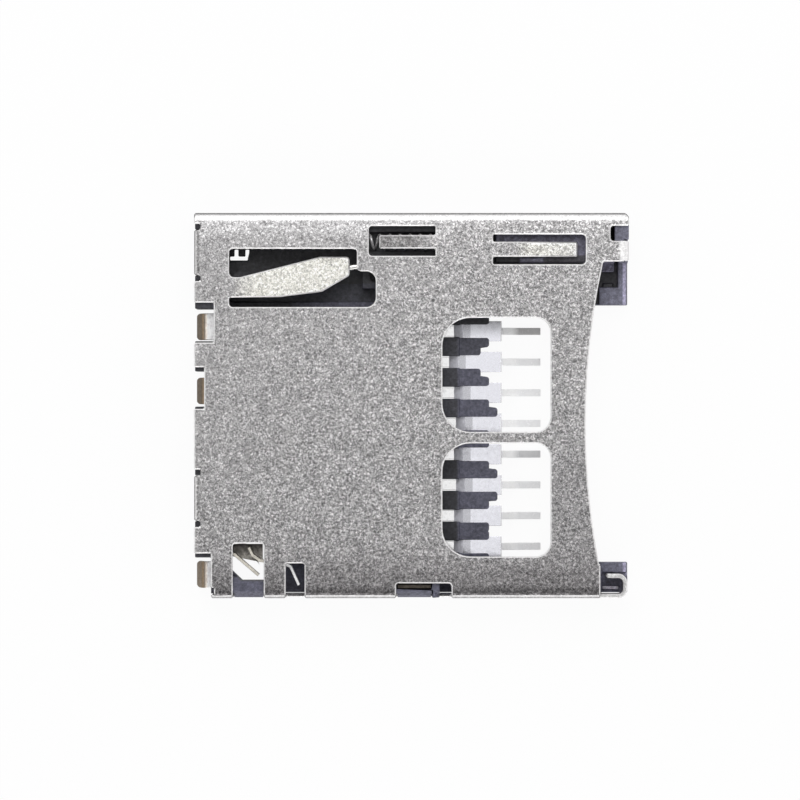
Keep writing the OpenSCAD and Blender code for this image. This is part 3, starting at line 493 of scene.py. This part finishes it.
SHEET_EDGE = 0.045 * MM
MOULD_EDGE = 0.035 * MM
WIRE_EDGE = 0.03 * MM
TAIL_EDGE = 0.02 * MM
STRIP_EDGE = 0.012 * MM
MOULD_SHORTEST = 0.12 * MM


def settle(piece):
    """Turns the result of a piece's modifiers into its plain mesh"""
    graph = bpy.context.evaluated_depsgraph_get()
    mesh = bpy.data.meshes.new_from_object(piece.evaluated_get(graph), preserve_all_data_layers=True, depsgraph=graph)
    old = piece.data
    piece.modifiers.clear()
    piece.data = mesh
    mesh.name = old.name
    bpy.data.meshes.remove(old)


def shade_by_area(mesh, widest):
    """Corner normals that follow the largest face at a vertex, among those within the widest angle"""
    form = bmesh.new()
    form.from_mesh(mesh)
    form.faces.ensure_lookup_table()
    limit = math.cos(math.radians(widest))
    weight = [face.calc_area() ** 2 for face in form.faces]
    normals = []
    for face in form.faces:
        for loop in face.loops:
            total = Vector()
            for near in loop.vert.link_faces:
                if near.normal.dot(face.normal) > limit:
                    total += near.normal * weight[near.index]
            normals.append(total.normalized() if total.length > 0 else face.normal.copy())
    form.free()
    for face in mesh.polygons:
        face.use_smooth = True
    mesh.normals_split_custom_set(normals)


def eased(node, name, width, body, materials, edge_slot=0, sharp=50, shortest=0.0, rounds=2, widest=50,
          join=0.003 * MM):
    """A copy of a CAD node that stands for it. Corners nearer to each other than join become one, and then the
    edges that are longer than shortest and turn by more than the sharp angle are rounded over."""
    mesh = nodes[node].data.copy()
    mesh.name = name
    form = bmesh.new()
    form.from_mesh(mesh)
    bmesh.ops.remove_doubles(form, verts=form.verts, dist=join)
    bmesh.ops.dissolve_limit(form, angle_limit=math.radians(0.5), verts=form.verts, edges=form.edges)
    for face in form.faces:
        face.material_index = 0
    edges = [e for e in form.edges if e.is_manifold and e.calc_length() > shortest
             and e.calc_face_angle(0) > math.radians(sharp)]
    bmesh.ops.bevel(form, geom=edges, offset=width, offset_type="OFFSET", segments=rounds, profile=0.5,
                    affect="EDGES", clamp_overlap=False, material=edge_slot)
    low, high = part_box(node)
    for vertex in form.verts:
        for k in range(3):
            vertex.co[k] = min(max(vertex.co[k], low[k]), high[k])
    form.to_mesh(mesh)
    form.free()
    mesh.materials.clear()
    for material in materials:
        mesh.materials.append(material)
    shade_by_area(mesh, widest)
    piece = bpy.data.objects.new(name, mesh)
    scene.collection.objects.link(piece)
    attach(piece, body)
    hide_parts(node)
    return piece


def repaint(piece, index, belongs):
    """Gives the faces where belongs(centre in mm, normal) holds another of the piece's materials"""
    for face in piece.data.polygons:
        if face.material_index == 0 and belongs(face.center / MM, face.normal):
            face.material_index = index


def guard_edge(c, n):
    return c.x > 6.6 and c.y < -5.6 and abs(n.z) > 0.9 and c.z < 1.5


cover = eased("cover", "cover_sheet", SHEET_EDGE, "base",
              [cover_sheet, cover_cut, guard_finish], edge_slot=1, shortest=0.006 * MM, rounds=1, widest=40,
              join=0.0075 * MM)
repaint(cover, 2, guard_edge)

# the rounded edges of the housing take the painted shade
housing = eased("housing", "housing_moulding", MOULD_EDGE, "base",
                [housing_plastic, lead_in_highlight, shaded_plastic, ledge_highlight], edge_slot=2,
                shortest=MOULD_SHORTEST)
# painted highlights on the lead in and the ledge at the mouth, then painted shade in the pocket of the slider, its
# mouth end and the rear edge
repaint(housing, 1, lambda c, n: 7.5 < c.x < 7.7 and c.z > 0.4 and 0.6 < n.x < 0.8 and 0.6 < n.z < 0.8)
repaint(housing, 3, lambda c, n: 6.8 < c.x < 7.4 and -6.58 < c.y < -6.42 and 0.5 < c.z < 0.9 and n.z > 0.5)
repaint(housing, 2, lambda c, n: -6.75 < c.x < 6.6 and 3.69 < c.y < 6.62 and 0.25 < c.z < 1.45)
repaint(housing, 2, lambda c, n: 6.6 < c.x < 7.37 and 3.69 < c.y < 6.62 and 0.25 < c.z < 0.5)
repaint(housing, 2, lambda c, n: c.x < -7.05)
# the slider's rounded edges and its rear part take the painted shade
slider = eased("slider", "slider_moulding", MOULD_EDGE, "slider", [slider_plastic, shaded_plastic],
               edge_slot=1, shortest=MOULD_SHORTEST)
repaint(slider, 1, lambda c, n: c.x < 3.0)
eased("cam_pin", "cam_pin_wire", WIRE_EDGE, "pin", [pin_wire])

for number in range(1, 9):
    strip = eased(f"contact_{number}", f"contact_strip_{number}", STRIP_EDGE, "base",
                  [contact_tin, bend_tin, strip_highlight_tin])
    # painted shade on the slopes, painted highlight on the low strips
    repaint(strip, 1, lambda c, n: 1.2 < c.x < 2.0 and n.x < -0.2 and n.z > 0.2)
    repaint(strip, 2, lambda c, n: -1.0 < c.x < 2.0 and c.z < 0.25 and n.z > 0.9)

for number in (1, 2):
    eased(f"rear_nail_{number}", f"rear_tail_{number}", TAIL_EDGE, "base", [tail_gold_highlit])
eased("side_nail", "side_nail_stamping", TAIL_EDGE, "base", [nail_gold])

fixed_blade = eased("switch_contact", "switch_fixed_blade", STRIP_EDGE, "base",
                    [blade_gilt, tail_gold_highlit])
repaint(fixed_blade, 1, lambda c, n: c.x < -6.7)
lever = eased("switch_lever", "switch_lever_blade", STRIP_EDGE, "base",
              [blade_gilt, lever_plate])
repaint(lever, 1, lambda c, n: abs(n.z) > 0.9 and c.z < 0.62)


# Eject spring, wound along its axis

SPRING_SIZES = (("Start", -6.675 * MM), ("Length", 7.845 * MM), ("Coil radius", 0.24 * MM), ("Wire radius", 0.05 * MM),
                ("Turns", 23.0), ("Closed step", 0.11 * MM), ("Phase", math.radians(24)), ("Axis Y", 5.84 * MM),
                ("Axis Z", 1.12 * MM))


def make_spring_tree(steps=24, sides=12):
    """Turns of one pitch between a closed turn at each end, with steps to a turn and sides round the wire"""
    tree = bpy.data.node_groups.new("eject spring turns", "GeometryNodeTree")
    tree.interface.new_socket("Geometry", in_out="OUTPUT", socket_type="NodeSocketGeometry")
    for name, value in SPRING_SIZES:
        tree.interface.new_socket(name, in_out="INPUT", socket_type="NodeSocketFloat").default_value = value
    tree.interface.new_socket("Wire", in_out="INPUT", socket_type="NodeSocketMaterial")
    given = tree.nodes.new("NodeGroupInput").outputs
    out = tree.nodes.new("NodeGroupOutput")
    link = tree.links.new
    count = calc(tree, "MULTIPLY_ADD", given["Turns"], steps, 1.0)
    line = tree.nodes.new("GeometryNodeMeshLine")
    link(count, line.inputs["Count"])
    turn = calc(tree, "DIVIDE", tree.nodes.new("GeometryNodeInputIndex").outputs[0], steps)
    last = calc(tree, "SUBTRACT", given["Turns"], 1.0)
    even_turns = calc(tree, "SUBTRACT", given["Turns"], 2.0)
    even_length = calc(tree, "MULTIPLY_ADD", given["Closed step"], -2.0, given["Length"])
    pitch = calc(tree, "DIVIDE", even_length, even_turns)
    first_part = calc(tree, "MULTIPLY", calc(tree, "MINIMUM", turn, 1.0), given["Closed step"])
    even = calc(tree, "MAXIMUM", calc(tree, "SUBTRACT", calc(tree, "MINIMUM", turn, last), 1.0), 0.0)
    first_two = calc(tree, "MULTIPLY_ADD", even, pitch, first_part)
    ending = calc(tree, "MAXIMUM", calc(tree, "SUBTRACT", turn, last), 0.0)
    advance = calc(tree, "MULTIPLY_ADD", ending, given["Closed step"], first_two)
    angle = calc(tree, "MULTIPLY_ADD", turn, 2 * math.pi, given["Phase"])
    place = tree.nodes.new("ShaderNodeCombineXYZ")
    link(calc(tree, "ADD", given["Start"], advance), place.inputs["X"])
    for circle, axis, way in (("COSINE", "Axis Y", "Y"), ("SINE", "Axis Z", "Z")):
        ring = calc(tree, "MULTIPLY_ADD", calc(tree, circle, angle), given["Coil radius"], given[axis])
        link(ring, place.inputs[way])
    wound = tree.nodes.new("GeometryNodeSetPosition")
    link(line.outputs["Mesh"], wound.inputs["Geometry"])
    link(place.outputs[0], wound.inputs["Position"])
    centre_line = tree.nodes.new("GeometryNodeMeshToCurve")
    link(wound.outputs[0], centre_line.inputs["Mesh"])
    round_wire = tree.nodes.new("GeometryNodeCurvePrimitiveCircle")
    round_wire.inputs["Resolution"].default_value = sides
    link(given["Wire radius"], round_wire.inputs["Radius"])
    drawn = tree.nodes.new("GeometryNodeCurveToMesh")
    drawn.inputs["Fill Caps"].default_value = True
    link(centre_line.outputs["Curve"], drawn.inputs["Curve"])
    link(round_wire.outputs["Curve"], drawn.inputs["Profile Curve"])
    whole = tree.nodes.new("GeometryNodeRealizeInstances")
    link(drawn.outputs["Mesh"], whole.inputs["Geometry"])
    finish = tree.nodes.new("GeometryNodeSetMaterial")
    link(whole.outputs["Geometry"], finish.inputs["Geometry"])
    link(given["Wire"], finish.inputs["Material"])
    link(finish.outputs["Geometry"], out.inputs["Geometry"])
    return tree


def make_spring():
    tree = make_spring_tree()
    mesh = bpy.data.meshes.new("eject_spring_wire")
    spring = bpy.data.objects.new("eject_spring_wire", mesh)
    scene.collection.objects.link(spring)
    turns = spring.modifiers.new("turns", "NODES")
    turns.node_group = tree
    values = dict(SPRING_SIZES, Wire=spring_wire)
    for item in tree.interface.items_tree:
        if item.in_out == "INPUT":
            turns[item.identifier] = values[item.name]
    settle(spring)
    for face in spring.data.polygons:
        face.use_smooth = len(face.vertices) == 4
    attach(spring, "base")
    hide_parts("eject_spring")
    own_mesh(spring)


make_spring()


# Floor and light

FLOOR_HALF = 0.4
FLOOR_DROP = 0.02 * MM


def make_floor():
    """White ground, plain white for the camera, that still holds a shadow; metal sees it darker towards +Y, a painted
    shade in its reflections
    """
    material = bpy.data.materials.new("floor")
    material.use_nodes = True
    tree = material.node_tree
    tree.nodes.clear()
    link = tree.links.new
    out = tree.nodes.new("ShaderNodeOutputMaterial")
    lit = new_node(tree, "ShaderNodeBsdfDiffuse", {"Color": (0.85, 0.85, 0.86, 1)})
    plain = new_node(tree, "ShaderNodeEmission", {"Strength": 1.0})
    path = tree.nodes.new("ShaderNodeLightPath").outputs
    tone = new_node(tree, "ShaderNodeMix", {2: 1.0})
    mix = tree.nodes.new("ShaderNodeMixShader")
    link(path["Is Glossy Ray"], tone.inputs[0])
    link(mm_ramp(tree, coordinates(tree)["Y"], -5, -8, 0.42, 0.95), tone.inputs[3])
    link(tone.outputs[0], plain.inputs["Color"])
    seen = calc(tree, "MAXIMUM", path["Is Camera Ray"], path["Is Glossy Ray"])
    link(calc(tree, "MULTIPLY", seen, 0.94), mix.inputs["Fac"])
    link(lit.outputs[0], mix.inputs[1])
    link(plain.outputs[0], mix.inputs[2])
    link(mix.outputs[0], out.inputs["Surface"])
    mesh = bpy.data.meshes.new("floor")
    corners = [(x * FLOOR_HALF, y * FLOOR_HALF, 0) for x, y in ((-1, -1), (1, -1), (1, 1), (-1, 1))]
    mesh.from_pydata(corners, [], [(0, 1, 2, 3)])
    mesh.materials.append(material)
    floor = bpy.data.objects.new("floor", mesh)
    floor.location.z = -FLOOR_DROP
    scene.collection.objects.link(floor)


make_floor()


def softbox(name, place, size, power):
    """A rectangle of light that looks at the part; the camera doesn't see it"""
    light = bpy.data.lights.new(name, "AREA")
    light.shape = "RECTANGLE"
    light.size, light.size_y = size
    light.energy = power
    lamp = bpy.data.objects.new(name, light)
    lamp.location = place
    lamp.rotation_mode = "QUATERNION"
    lamp.rotation_quaternion = (-Vector(place)).to_track_quat("-Z", "Y")
    lamp.visible_camera = False
    scene.collection.objects.link(lamp)


softbox("overhead", (0, 0, 0.35), (0.22, 0.22), 0.076)
softbox("key on the slider side", (0, 0.0574, 0.0819), (0.093, 0.065), 0.0494)
softbox("softbox near side", (0, -0.11, 0.055), (0.16, 0.07), 0.05)


def make_room():
    """White walls that fade to a darker ceiling, and a plain white background for the camera"""
    world = bpy.data.worlds.new("studio")
    scene.world = world
    world.use_nodes = True
    tree = world.node_tree
    tree.nodes.clear()
    out = tree.nodes.new("ShaderNodeOutputWorld")
    walls = colour_ramp(tree, [(0.0, grey(1.2)), (0.5, grey(1.15)), (0.66, grey(0.15)), (0.85, grey(0.15)),
                               (0.96, grey(0.36))])
    room = tree.nodes.new("ShaderNodeBackground")
    white = new_node(tree, "ShaderNodeBackground", {"Color": (1, 1, 1, 1), "Strength": 1.0})
    path = tree.nodes.new("ShaderNodeLightPath")
    mix = tree.nodes.new("ShaderNodeMixShader")
    tree.links.new(coordinates(tree, "Generated")["Z"], walls.inputs["Fac"])
    tree.links.new(walls.outputs["Color"], room.inputs["Color"])
    tree.links.new(path.outputs["Is Camera Ray"], mix.inputs["Fac"])
    tree.links.new(room.outputs[0], mix.inputs[1])
    tree.links.new(white.outputs[0], mix.inputs[2])
    tree.links.new(mix.outputs[0], out.inputs["Surface"])


make_room()
